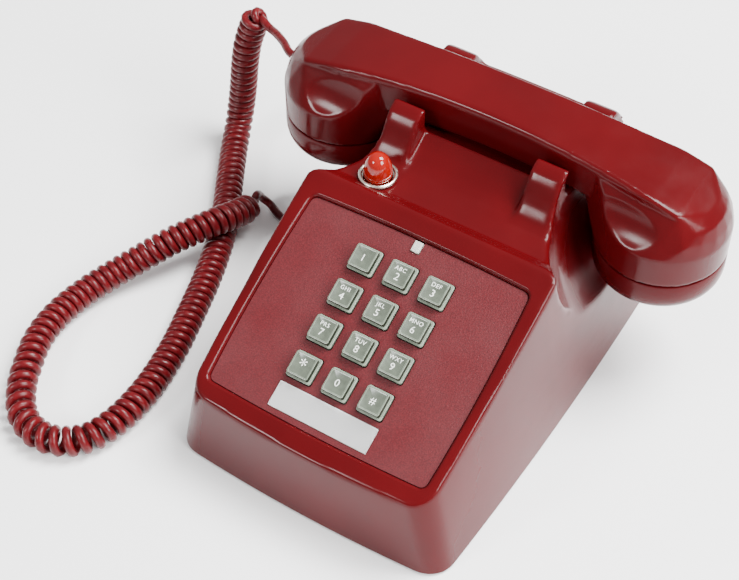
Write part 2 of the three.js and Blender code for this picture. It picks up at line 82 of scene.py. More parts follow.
def link(name: str, data: bpy.types.ID) -> bpy.types.Object:
    """Puts data into the scene as an object of that name and returns the object."""
    made = bpy.data.objects.new(name, data)
    bpy.context.scene.collection.objects.link(made)
    return made


def mesh_of(name: str, data: bpy.types.Curve) -> bpy.types.Mesh:
    """Turns a curve or a text into plain mesh and returns the mesh."""
    holder = link(name, data)
    graph = bpy.context.evaluated_depsgraph_get()
    mesh = bpy.data.meshes.new_from_object(holder.evaluated_get(graph))
    bpy.data.objects.remove(holder)
    return mesh


def move(bm: Shape, matrix: Matrix) -> Shape:
    """Places the whole mesh.

    Args:
        bm: the mesh.
        matrix: the place it gets.

    Returns:
        The same mesh.
    """
    bmesh.ops.transform(bm, matrix=matrix, verts=bm.verts)
    return bm


def shape_by(bm: Shape, rule: Callable[[Vector], Vector]) -> Shape:
    """Moves every point by a rule.

    Args:
        bm: the mesh.
        rule: gives the new place of a point.

    Returns:
        The same mesh.
    """
    for vert in bm.verts:
        vert.co = rule(vert.co)
    return bm


def panel(half_x: float, low: float, high: float, radius: float, bow: float = 0.0,
          segments: int = 6, cuts: int = 12) -> Shape:
    """Makes a flat rectangle with round corners and, if asked, softly bowed sides.

    Args:
        half_x: half its width.
        low: its lowest Y.
        high: its highest Y.
        radius: the corners' radius.
        bow: how far each side swells at its middle.
        segments: steps round a corner.
        cuts: extra points along a side.

    Returns:
        The flat mesh at Z = 0.
    """
    bm = fresh()
    half_y = (high - low) / 2
    bmesh.ops.create_grid(bm, x_segments=1, y_segments=1, size=1)
    move(bm, Matrix.Diagonal((half_x, half_y, 1, 1)))
    bmesh.ops.bevel(bm, geom=bm.verts[:], offset=radius, affect="VERTICES", segments=segments,
                    profile=0.5, material=-1)
    sides = [e for e in bm.edges if e.calc_length() > 2.2 * radius]
    if bow:
        bmesh.ops.subdivide_edges(bm, edges=sides, cuts=cuts)

    def swell(co: Vector) -> Vector:
        """Bows a point that lies on one of the four sides."""
        x, y = co.x, co.y
        if abs(abs(co.x) - half_x) < 1e-4:
            x += math.copysign(bow * max(0.0, 1 - (co.y / (half_y - radius)) ** 2), co.x)
        if abs(abs(co.y) - half_y) < 1e-4:
            y += math.copysign(bow * max(0.0, 1 - (co.x / (half_x - radius)) ** 2), co.y)
        return Vector((x, y + (low + high) / 2, 0))

    return shape_by(bm, swell)


def lift(bm: Shape, way: Point) -> Shape:
    """Extrudes a flat mesh into a closed solid.

    Args:
        bm: the flat mesh.
        way: how far and in which direction.

    Returns:
        The same mesh, now closed and facing outwards.
    """
    made = bmesh.ops.extrude_face_region(bm, geom=bm.faces[:])["geom"]
    verts = [g for g in made if isinstance(g, bmesh.types.BMVert)]
    bmesh.ops.translate(bm, vec=way, verts=verts)
    bmesh.ops.recalc_face_normals(bm, faces=bm.faces)
    return bm


def stacked(levels: Iterable[tuple[float, Shape]]) -> Shape:
    """Makes a solid through flat outlines that lie one above the other.

    Args:
        levels: the height and the flat mesh of each outline, all with as many corners.

    Returns:
        The closed mesh.
    """
    bm = fresh()
    rings = []
    for height, flat in levels:
        flat.faces.ensure_lookup_table()
        rings.append([bm.verts.new((v.co.x, v.co.y, height)) for v in flat.faces[0].verts])
        flat.free()
    for low, high in zip(rings, rings[1:]):
        for i, vert in enumerate(low):
            after = (i + 1) % len(low)
            bm.faces.new((vert, low[after], high[after], high[i]))
    bm.faces.new(rings[0])
    bm.faces.new(rings[-1])
    bmesh.ops.recalc_face_normals(bm, faces=bm.faces)
    return bm


def slab(side: Iterable[tuple[float, float]], half: float) -> Shape:
    """Makes a solid from its side outline.

    Args:
        side: the outline as Y and Z.
        half: how far it reaches to each side of X = 0.

    Returns:
        The closed mesh.
    """
    bm = fresh()
    bm.faces.new([bm.verts.new((-half, y, z)) for y, z in side])
    return lift(bm, (2 * half, 0, 0))


def brick(x0: float, x1: float, y0: float, y1: float, z0: float, z1: float) -> Shape:
    """Makes a plain rectangular solid between two corners, for cutting and joining.

    Args:
        x0, x1, y0, y1, z0, z1: its limits.

    Returns:
        The closed mesh.
    """
    bm = fresh()
    bmesh.ops.create_cube(bm, size=1)
    place = Matrix.Translation(((x0 + x1) / 2, (y0 + y1) / 2, (z0 + z1) / 2))
    return move(bm, place @ Matrix.Diagonal((x1 - x0, y1 - y0, z1 - z0, 1)))


def turned(profile: Iterable[tuple[float, float]], steps: int = 64,
           at: Point = (0, 0, 0)) -> Shape:
    """Spins an outline of radius and height about the Z axis.

    Args:
        profile: the outline; a closed ring repeats its first point.
        steps: steps round the axis.
        at: where the axis stands.

    Returns:
        The closed mesh.
    """
    bm = fresh()
    verts = [bm.verts.new((r, 0, z)) for r, z in profile]
    edges = [bm.edges.new(pair) for pair in zip(verts, verts[1:])]
    bmesh.ops.spin(bm, geom=verts + edges, cent=(0, 0, 0), axis=(0, 0, 1), dvec=(0, 0, 0),
                   angle=math.tau, steps=steps, use_merge=True)
    bmesh.ops.remove_doubles(bm, verts=bm.verts, dist=1e-4)
    bmesh.ops.recalc_face_normals(bm, faces=bm.faces)
    return move(bm, Matrix.Translation(at))


def rod(r: float, low: Point, high: Point, sides: int = 32) -> Shape:
    """Makes a straight round rod between two points.

    Args:
        r: its radius.
        low: the middle of one end.
        high: the middle of the other end.
        sides: sides round it.

    Returns:
        The closed mesh.
    """
    bm = fresh()
    a, b = Vector(low), Vector(high)
    bmesh.ops.create_cone(bm, cap_ends=True, segments=sides, radius1=r, radius2=r,
                          depth=(b - a).length)
    turn = (b - a).to_track_quat("Z", "Y").to_matrix().to_4x4()
    return move(bm, Matrix.Translation((a + b) / 2) @ turn)


class Work:
    """A closed mesh in millimetres that is cut, joined and smoothed before it is placed."""

    def __init__(self, bm: Shape) -> None:
        """Takes over a mesh under construction."""
        mesh = bpy.data.meshes.new("work")
        bm.to_mesh(mesh)
        bm.free()
        self.obj = link("work", mesh)

    def settle(self) -> "Work":
        """Turns the live modifiers into plain mesh and returns the work."""
        graph = bpy.context.evaluated_depsgraph_get()
        mesh = bpy.data.meshes.new_from_object(self.obj.evaluated_get(graph))
        old, self.obj.data = self.obj.data, mesh
        self.obj.modifiers.clear()
        bpy.data.meshes.remove(old)
        return self

    def drop(self) -> None:
        """Throws a used tool away."""
        mesh = self.obj.data
        bpy.data.objects.remove(self.obj)
        bpy.data.meshes.remove(mesh)

    def with_(self, how: Join, *tools: Shape) -> "Work":
        """Adds, cuts or keeps what the tools cover.

        Args:
            how: what the tools do.
            tools: closed meshes, which are used up.

        Returns:
            The work.
        """
        for bm in tools:
            tool = Work(bm)
            mod = self.obj.modifiers.new("join", "BOOLEAN")
            mod.operation = how.value
            mod.solver = "MANIFOLD"
            mod.object = tool.obj
            self.settle()
            tool.drop()
        return self

    def rounded(self, voxel: float, passes: int) -> "Work":
        """Remeshes evenly and smooths, which rounds every edge like moulded plastic.

        Args:
            voxel: the size of a facet.
            passes: how often the surface is smoothed.

        Returns:
            The work.
        """
        mod = self.obj.modifiers.new("even", "REMESH")
        mod.mode = "VOXEL"
        mod.voxel_size = voxel
        mod = self.obj.modifiers.new("soft", "SMOOTH")
        mod.factor = 0.5
        mod.iterations = passes
        return self.settle()

    def bevelled(self, width: float, segments: int = 3, angle: float = 32) -> "Work":
        """Rounds the sharp edges.

        Args:
            width: how far the rounding reaches.
            segments: steps across it.
            angle: edges sharper than this, in degrees, are rounded.

        Returns:
            The work.
        """
        mod = self.obj.modifiers.new("edge", "BEVEL")
        mod.width = width
        mod.segments = segments
        mod.limit_method = "ANGLE"
        mod.angle_limit = math.radians(angle)
        mod.use_clamp_overlap = True
        return self.settle()

    def placed(self, name: str, shift: Vector, looks: Sequence[Material],
               sharp: float = 35) -> bpy.types.Object:
        """Brings the work into the frame in metres and gives it its name and finish.

        Args:
            name: the piece's name.
            shift: from the work's own origin to the frame's, in millimetres.
            looks: the materials of its slots.
            sharp: edges above this angle, in degrees, stay crisp.

        Returns:
            The piece.
        """
        mesh = self.obj.data
        mesh.transform(Matrix.Scale(MM, 4) @ Matrix.Translation(shift))
        mesh.name = self.obj.name = name
        marks = [face.material_index for face in mesh.polygons]
        mesh.materials.clear()
        for look in looks:
            mesh.materials.append(look)
        mesh.polygons.foreach_set("material_index", [min(m, len(looks) - 1) for m in marks])
        mesh.shade_smooth()
        mesh.set_sharp_from_angle(angle=math.radians(sharp))
        return self.obj


def settle_piece(piece: bpy.types.Object, body: str, slot: str, *nodes: str) -> bpy.types.Object:
    """Says what a piece rides on and which solids it stands for.

    Args:
        piece: the finished piece.
        body: the body that it moves with.
        slot: not used.
        nodes: the solids that it replaces.

    Returns:
        The piece.
    """
    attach(piece, body)
    if nodes:
        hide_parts(*nodes)
    log.info("%s rides on %s, %d faces", piece.name, body, len(piece.data.polygons))
    return piece


# ---------- finishes ----------
class Tree:
    """The node tree of one finish, with short ways to add its nodes."""

    def __init__(self, name: str) -> None:
        """Starts a material with a bare surface shader."""
        self.material = bpy.data.materials.new(name)
        self.material.use_nodes = True
        self.nodes = self.material.node_tree.nodes
        self.links = self.material.node_tree.links
        self.shader = self.nodes["Principled BSDF"]
        self.coords = self.nodes.new("ShaderNodeTexCoord").outputs["Object"]

    def _texture(self, kind: str, scale: float, stretch: Point) -> bpy.types.Node:
        """Adds a texture node on object coordinates, stretched along the axes."""
        mapping = self.nodes.new("ShaderNodeMapping")
        mapping.inputs["Scale"].default_value = stretch
        self.links.new(self.coords, mapping.inputs["Vector"])
        node = self.nodes.new(kind)
        self.links.new(mapping.outputs[0], node.inputs["Vector"])
        node.inputs["Scale"].default_value = scale
        return node

    def noise(self, scale: float, detail: float = 4, stretch: Point = (1, 1, 1)) -> Socket:
        """Adds cloudy noise.

        Args:
            scale: how many clouds to a metre, roughly.
            detail: how fine it gets.
            stretch: scale along each axis.

        Returns:
            Its strength.
        """
        node = self._texture("ShaderNodeTexNoise", scale, stretch)
        node.inputs["Detail"].default_value = detail
        return node.outputs[0]

    def pebbles(self, scale: float) -> Socket:
        """Adds round grains of the given number to a metre and returns their height."""
        node = self._texture("ShaderNodeTexVoronoi", scale, (1, 1, 1))
        node.feature = "SMOOTH_F1"
        node.inputs["Smoothness"].default_value = 0.6
        return node.outputs["Distance"]

    def bands(self, scale: float, axis: str) -> Socket:
        """Adds fine parallel bands across an axis and returns their height."""
        node = self._texture("ShaderNodeTexWave", scale, (1, 1, 1))
        node.bands_direction = axis
        node.inputs["Distortion"].default_value = 0.6
        return node.outputs["Fac"]

    def ramp(self, factor: Socket, *stops: tuple[float, Point]) -> Socket:
        """Turns a strength into a colour.

        Args:
            factor: the strength.
            stops: places and their colours.

        Returns:
            The colour.
        """
        node = self.nodes.new("ShaderNodeValToRGB")
        elements = node.color_ramp.elements
        while len(elements) < len(stops):
            elements.new(0.5)
        for element, (place, color) in zip(elements, stops):
            element.position = place
            element.color = (*color, 1)
        self.links.new(factor, node.inputs["Fac"])
        return node.outputs["Color"]

    def span(self, factor: Socket, low: float, high: float) -> Socket:
        """Maps a strength to a span of numbers.

        Args:
            factor: the strength, about 0.3 to 0.7.
            low: what its low end becomes.
            high: what its high end becomes.

        Returns:
            The number.
        """
        node = self.nodes.new("ShaderNodeMapRange")
        node.inputs["From Min"].default_value = 0.3
        node.inputs["From Max"].default_value = 0.7
        node.inputs["To Min"].default_value = low
        node.inputs["To Max"].default_value = high
        self.links.new(factor, node.inputs["Value"])
        return node.outputs["Result"]

    def bump(self, height: Socket, strength: float, depth: float,
             under: Socket | None = None) -> Socket:
        """Adds relief.

        Args:
            height: where it is high.
            strength: how much of it shows.
            depth: how deep it is, in metres.
            under: relief that it lies on.

        Returns:
            The surface direction.
        """
        node = self.nodes.new("ShaderNodeBump")
        node.inputs["Strength"].default_value = strength
        node.inputs["Distance"].default_value = depth
        self.links.new(height, node.inputs["Height"])
        if under is not None:
            self.links.new(under, node.inputs["Normal"])
        return node.outputs["Normal"]

    def feed(self, **sockets: Socket) -> None:
        """Links sockets to the shader's inputs, named with _ for a space."""
        for name, socket in sockets.items():
            self.links.new(socket, self.shader.inputs[name.replace("_", " ")])

    def set(self, **values: float | Point) -> None:
        """Sets plain numbers and colours on the shader's inputs, named with _ for a space."""
        for name, value in values.items():
            self.shader.inputs[name.replace("_", " ")].default_value = value


@dataclass(frozen=True)
class GlossMoulding:
    """Polished moulded plastic with faint waviness, fine dust and handling marks."""

    name: str
    light: Color
    deep: Color
    roughness: float = 0.16

    def material(self) -> Material:
        """Returns the material."""
        t = Tree(self.name)
        tone = t.noise(18, 3)
        smears = t.noise(70, 6, (1, 1, 2.5))
        t.feed(Base_Color=t.ramp(tone, (0.35, self.deep), (0.65, self.light)),
               Roughness=t.span(smears, self.roughness * 0.8, self.roughness * 1.5),
               Normal=t.bump(t.noise(3200, 2), 0.03, 0.00003, t.bump(t.noise(45, 1), 0.08, 0.0003)))
        t.set(IOR=1.5, Specular_IOR_Level=0.15)
        return t.material


@dataclass(frozen=True)
class PebbledMoulding:
    """Moulded plastic with a fine spark-eroded grain."""

    name: str
    light: Color
    deep: Color
    grains: float = 1700

    def material(self) -> Material:
        """Returns the material."""
        t = Tree(self.name)
        grain = t.noise(self.grains, 3)
        t.feed(Base_Color=t.ramp(grain, (0.36, self.deep), (0.66, self.light)),
               Roughness=t.span(t.noise(40, 4), 0.36, 0.5),
               Normal=t.bump(t.pebbles(self.grains * 0.8), 0.5, 0.00016, t.bump(grain, 0.35, 0.0002)))
        t.set(IOR=1.5, Specular_IOR_Level=0.4)
        return t.material


@dataclass(frozen=True)
class KeyMoulding:
    """Satin key plastic, a little cloudy and worn."""

    name: str
    color: Color

    def material(self) -> Material:
        """Returns the material."""
        t = Tree(self.name)
        dark = tuple(c * 0.78 for c in self.color)
        t.feed(Base_Color=t.ramp(t.noise(420, 5), (0.36, dark), (0.64, self.color)),
               Roughness=t.span(t.noise(260, 4), 0.26, 0.4),
               Normal=t.bump(t.noise(2600, 3), 0.12, 0.00008))
        t.set(IOR=1.48, Coat_Weight=0.2, Coat_Roughness=0.15)
        return t.material


@dataclass(frozen=True)
class Jacket:
    """Satin vinyl of the cord, a little streaky along its length."""

    name: str
    light: Color
    deep: Color

    def material(self) -> Material:
        """Returns the material."""
        t = Tree(self.name)
        t.feed(Base_Color=t.ramp(t.noise(240, 4), (0.35, self.deep), (0.65, self.light)),
               Roughness=t.span(t.noise(600, 3), 0.24, 0.42),
               Normal=t.bump(t.noise(1800, 3), 0.15, 0.0001))
        t.set(IOR=1.5, Specular_IOR_Level=0.22)
        return t.material


@dataclass(frozen=True)
class Metal:
    """Plated, brushed or plain metal."""

    name: str
    color: Color
    roughness: float
    brushed: tuple[float, float, float] = (1, 1, 1)

    def material(self) -> Material:
        """Returns the material."""
        t = Tree(self.name)
        dark = tuple(c * 0.82 for c in self.color)
        lines = t.noise(500, 4, self.brushed)
        t.feed(Base_Color=t.ramp(t.noise(90, 4), (0.35, dark), (0.65, self.color)),
               Roughness=t.span(lines, self.roughness * 0.75, self.roughness * 1.35),
               Normal=t.bump(lines, 0.1, 0.00005))
        t.set(Metallic=1.0)
        return t.material


@dataclass(frozen=True)
class Matte:
    """Dull plastic, rubber, card or board with a fine speckle."""

    name: str
    color: Color
    roughness: float = 0.6
    speck: float = 900
    contrast: float = 0.8

    def material(self) -> Material:
        """Returns the material."""
        t = Tree(self.name)
        dark = tuple(c * self.contrast for c in self.color)
        speck = t.noise(self.speck, 5)
        t.feed(Base_Color=t.ramp(speck, (0.35, dark), (0.65, self.color)),
               Roughness=t.span(t.noise(120, 3), self.roughness * 0.85, self.roughness * 1.15),
               Normal=t.bump(speck, 0.2, 0.0001))
        return t.material


@dataclass(frozen=True)
class Clear:
    """Clear or tinted plastic that lets light through."""

    name: str
    color: Color
    through: float
    roughness: float = 0.08
    glow: float = 0.0

    def material(self) -> Material:
        """Returns the material."""
        t = Tree(self.name)
        pale = tuple(min(1.0, c * 1.08) for c in self.color)
        t.feed(Base_Color=t.ramp(t.noise(160, 3), (0.35, self.color), (0.65, pale)),
               Roughness=t.span(t.noise(300, 3), self.roughness * 0.8, self.roughness * 1.4),
               Normal=t.bump(t.noise(500, 2), 0.05, 0.0001))
        t.set(IOR=1.49, Transmission_Weight=self.through, Emission_Color=(*self.color, 1),
              Emission_Strength=self.glow)
        return t.material


@dataclass(frozen=True)
class Winding:
    """Varnished copper wire wound side by side."""

    name: str
    color: Color

    def material(self) -> Material:
        """Returns the material."""
        t = Tree(self.name)
        wires = t.bands(900, "X")
        # the dark bands are painted shade in the grooves between the turns
        dark = tuple(c * 0.45 for c in self.color)
        t.feed(Base_Color=t.ramp(wires, (0.2, dark), (0.8, self.color)),
               Roughness=t.span(wires, 0.3, 0.5), Normal=t.bump(wires, 0.6, 0.0002))
        t.set(Metallic=0.7)
        return t.material


@dataclass
class Finishes:
    """Every finish of the telephone, each made once."""

    made: dict[str, Material] = field(default_factory=dict)

    def __post_init__(self) -> None:
        """Makes the materials."""
        cherry, wine = (0.068, 0.0022, 0.0034), (0.054, 0.0018, 0.0028)
        for finish in (
            GlossMoulding("shell", cherry, wine),
            PebbledMoulding("pebble", (0.094, 0.007, 0.01), (0.056, 0.004, 0.006)),
            KeyMoulding("keys", (0.088, 0.104, 0.078)),
            # painted highlight: the pale skin of the keys' flanges and bevelled edges
            KeyMoulding("key_painted_highlight", (0.21, 0.25, 0.19)),
            # painted shade: the dark skin of the key caps' upright sides
            KeyMoulding("key_painted_shade", (0.014, 0.022, 0.014)),
            Matte("ink", (0.82, 0.84, 0.78), 0.5),
            Jacket("cord", (0.1, 0.004, 0.006), (0.07, 0.003, 0.005)),
            Metal("steel", (0.62, 0.62, 0.6), 0.34, (1, 8, 1)),
            Metal("nickel", (0.92, 0.87, 0.76), 0.24),
            Metal("brass", (0.72, 0.52, 0.24), 0.24),
            Metal("zinc", (0.68, 0.66, 0.58), 0.3),
            Matte("rubber", (0.035, 0.034, 0.034), 0.8),
            Matte("black", (0.03, 0.03, 0.032), 0.42),
            Clear("clear", (0.86, 0.86, 0.78), 0.55, 0.2),
            Clear("window", (0.99, 0.99, 0.99), 1.0, 0.05),
            Clear("lens", (0.26, 0.004, 0.001), 0.2, 0.06, 0.03),
            Matte("card", (0.95, 0.95, 0.94), 0.7, 1500, 0.97),
            Matte("board", (0.34, 0.2, 0.07), 0.5, 700, 0.7),
            Winding("copper", (0.62, 0.26, 0.1)),
        ):
            self.made[finish.name] = finish.material()

    def __getitem__(self, name: str) -> Material:
        """Returns the finish of that name."""
        return self.made[name]


# ---------- camera and studio ----------
@dataclass
class Studio:
    """The camera, the pale floor and the soft lights."""

    target: tuple[float, float, float] = (-0.0187, -0.0224, 0.0559)
    azimuth: float = 33.0
    elevation: float = 48.56
    roll: float = -0.59
    distance: float = 0.7559
    lens: float = 82.2

    def camera(self) -> None:
        """Makes the camera at the telephone's usual three-quarter view from above."""
        az, el = math.radians(self.azimuth), math.radians(self.elevation)
        away = Vector((math.sin(az) * math.cos(el), -math.cos(az) * math.cos(el), math.sin(el)))
        right = Vector((math.cos(az), math.sin(az), 0))
        turn = Matrix.Rotation(math.radians(self.roll), 3, away)
        right = turn @ right
        up = away.cross(right)
        data = bpy.data.cameras.new("camera")
        data.lens = self.lens
        data.sensor_width = 36
        camera = link("camera", data)
        basis = Matrix((right, up, away)).transposed().to_4x4()
        place = Vector(self.target) + away * self.distance
        camera.matrix_world = Matrix.Translation(place) @ basis
        bpy.context.scene.camera = camera

    def lamp(self, name: str, place: Point, size: float, power: float) -> None:
        """Adds one soft light that faces the telephone.

        Args:
            name: its name.
            place: where it hangs.
            size: the width of its square face.
            power: its power in watts.
        """
        data = bpy.data.lights.new(name, "AREA")
        data.size = size
        data.energy = power
        light = link(name, data)
        aim = Vector(self.target) - Vector(place)
        light.matrix_world = (Matrix.Translation(place)
                              @ aim.to_track_quat("-Z", "Y").to_matrix().to_4x4())

    def floor(self) -> None:
        """Makes the plain pale floor."""
        bm = fresh()
        bmesh.ops.create_grid(bm, x_segments=2, y_segments=2, size=4)
        mesh = bpy.data.meshes.new("floor")
        bm.to_mesh(mesh)
        bm.free()
        floor = link("floor", mesh)
        t = Tree("floor")
        dim, bright = (0.95, 0.95, 0.95), (0.97, 0.97, 0.97)
        t.feed(Base_Color=t.ramp(t.noise(3, 2), (0.3, dim), (0.7, bright)))
        t.set(Roughness=0.6)
        mesh.materials.append(t.material)

    def build(self) -> None:
        """Sets the whole studio up."""
        self.camera()
        self.floor()
        self.lamp("front", (-0.75, -1.5, 1.15), 0.4, 24)
        self.lamp("right", (1.5, -0.2, 1.2), 0.8, 52)
        self.lamp("ceiling", (0.6, 0.6, 1.7), 0.9, 112)
        world = bpy.data.worlds.new("air")
        world.use_nodes = True
        back = world.node_tree.nodes["Background"]
        back.inputs["Color"].default_value = (1, 1, 1, 1)
        back.inputs["Strength"].default_value = 0.6
        bpy.context.scene.world = world


# ---------- cord ----------
@dataclass
class CurlyCord:
    """The handset cord: a plain tail at each end and a long tight coil between them."""

    radius: float = 2.1
    coil_radius: float = 5.25
    pitch: float = 4.3
    loosest: int = 20         # the coil point where the turns stand most open
    opened: float = 1.9       # how much further apart they stand there
    open_reach: float = 55    # how far along the cord that fades out
    ease: float = 9.0
    route_step: float = 0.25
    spacing: float = 1.45     # the least distance between two points of the helix
    tail: tuple[Point, ...] = ((-113.4, 166.5, 89.5), (-118, 168.4, 89.2), (-124.3, 173.6, 87.8),
                               (-133, 179.6, 85.4), (-140.6, 184, 83))
    coil: tuple[Point, ...] = (
        (-149.4, 186.8, 84), (-153.4, 186.4, 75), (-155.6, 184.8, 66), (-157.8, 184.2, 53),
        (-160, 184, 36), (-161.4, 182.4, 22), (-160.2, 176.4, 11.4), (-155.1, 165.6, 7.6),
        (-144, 146.3, 7.6), (-133, 127.7, 7.6), (-124.6, 112.5, 7.6), (-118.4, 98, 7.6), (-113.2, 84, 7.6),
        (-106.4, 62, 7.6), (-99.9, 38.2, 7.6), (-96.2, 14.6, 7.6), (-96.6, -7, 7.6), (-101.1, -21.5, 7.6),
        (-109, -29.6, 7.6), (-120.8, -33, 7.6), (-134, -29, 7.6), (-145.1, -17.5, 7.6), (-153.3, -2.4, 7.6),
        (-158.6, 11.5, 7.6), (-160.4, 27, 7.6), (-158.4, 43.5, 8), (-152.6, 59.3, 10.2),
        (-144.6, 72.6, 14.6), (-136, 84.6, 19.9), (-128.6, 95.8, 22.6), (-122.6, 107.6, 22.6),
        (-119.4, 119.6, 19.2), (-118.6, 130.6, 16))
    lead: tuple[Point, ...] = (
        (-119.6, 136.2, 17.4), (-121.6, 141, 13), (-122.6, 144.6, 7), (-119, 146.2, 3),
        (-113, 143.6, 2.3), (-105, 140.4, 3), (-98, 137, 6), (-91.4, 134.4, 9.6),
        (-85, 133.5, 11), (-77.7, 133.5, 11))

    @staticmethod
    def smooth_route(points: Sequence[Vector], step: float) -> list[Vector]:
        """Runs one smooth line through the points.

        Args:
            points: the points that it passes.
            step: about how far apart its own points are.

        Returns:
            The line's points.
        """
        route: list[Vector] = []
        ends = [2 * points[0] - points[1], *points, 2 * points[-1] - points[-2]]
        for a, b, c, d in zip(ends, ends[1:], ends[2:], ends[3:]):
            count = max(2, round((c - b).length / step))
            span = [math.sqrt((q - p).length) for p, q in ((a, b), (b, c), (c, d))]
            m1 = (c - b) + span[1] * ((b - a) / span[0] - (c - a) / (span[0] + span[1]))
            m2 = (c - b) + span[1] * ((d - c) / span[2] - (d - b) / (span[1] + span[2]))
            for i in range(count):
                t = i / count
                route.append((2 * t**3 - 3 * t**2 + 1) * b + (t**3 - 2 * t**2 + t) * m1
                             + (3 * t**2 - 2 * t**3) * c + (t**3 - t**2) * m2)
        return [*route, points[-1].copy()]

    def wound(self) -> list[Vector]:
        """Returns the cord's own line in millimetres: tail, coil and lead in one."""
        tail, coil, lead = ([Vector(p) + BASE_SHIFT for p in part]
                            for part in (self.tail, self.coil, self.lead))
        middle = self.smooth_route([*tail, *coil, *lead], self.route_step)
        reach = [0.0]
        for a, b in zip(middle, middle[1:]):
            reach.append(reach[-1] + (b - a).length)

        def place(of: Vector) -> float:
            """Returns how far along the middle line a point lies."""
            return reach[min(range(len(middle)), key=lambda i: (middle[i] - of).length)]

        first, last = place(coil[0]), place(coil[-1])
        bend = place(coil[self.loosest])
        line: list[Vector] = []
        side = Vector((0, 0, 1))
        turn = 0.0
        for i in range(1, len(middle) - 1):
            ahead = (middle[i + 1] - middle[i - 1]).normalized()
            side = (side - ahead * side.dot(ahead)).normalized()
            s = reach[i]
            pitch = self.pitch + self.opened * math.exp(-((s - bend) / self.open_reach) ** 2)
            turn += math.tau * (reach[i] - reach[i - 1]) / pitch
            inside = min(s - first, last - s) + self.ease * 0.5
            grow = min(max(inside / self.ease, 0.0), 1.0)
            r = self.coil_radius * grow * grow * (3 - 2 * grow)
            out = side * math.cos(turn) + ahead.cross(side) * math.sin(turn)
            point = middle[i] + out * r
            if not line or (point - line[-1]).length > self.spacing:
                line.append(point)
        return [middle[0], *line[1:-1], middle[-1]]

    def build(self, looks: Finishes) -> None:
        """Makes the cord as one still piece and hides the solids that it stands for."""
        path = [p * MM for p in self.wound()]
        data = bpy.data.curves.new("curly_cord", "CURVE")
        data.dimensions = "3D"
        data.bevel_depth = self.radius * MM
        data.bevel_resolution = 3
        data.use_fill_caps = True
        spline = data.splines.new("POLY")
        spline.points.add(len(path) - 1)
        for point, co in zip(spline.points, path):
            point.co = (*co, 1)
        mesh = mesh_of("curly_cord_line", data)
        bm = fresh()
        bm.from_mesh(mesh)
        bmesh.ops.remove_doubles(bm, verts=bm.verts, dist=1e-6)
        bmesh.ops.recalc_face_normals(bm, faces=bm.faces)
        bm.to_mesh(mesh)
        bm.free()
        mesh.materials.clear()
        mesh.materials.append(looks["cord"])
        mesh.shade_smooth()
        piece = link("curly_cord", mesh)
        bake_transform(piece)
        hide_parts("cord_coil", "cord_lead_base", "cord_lead_handset")


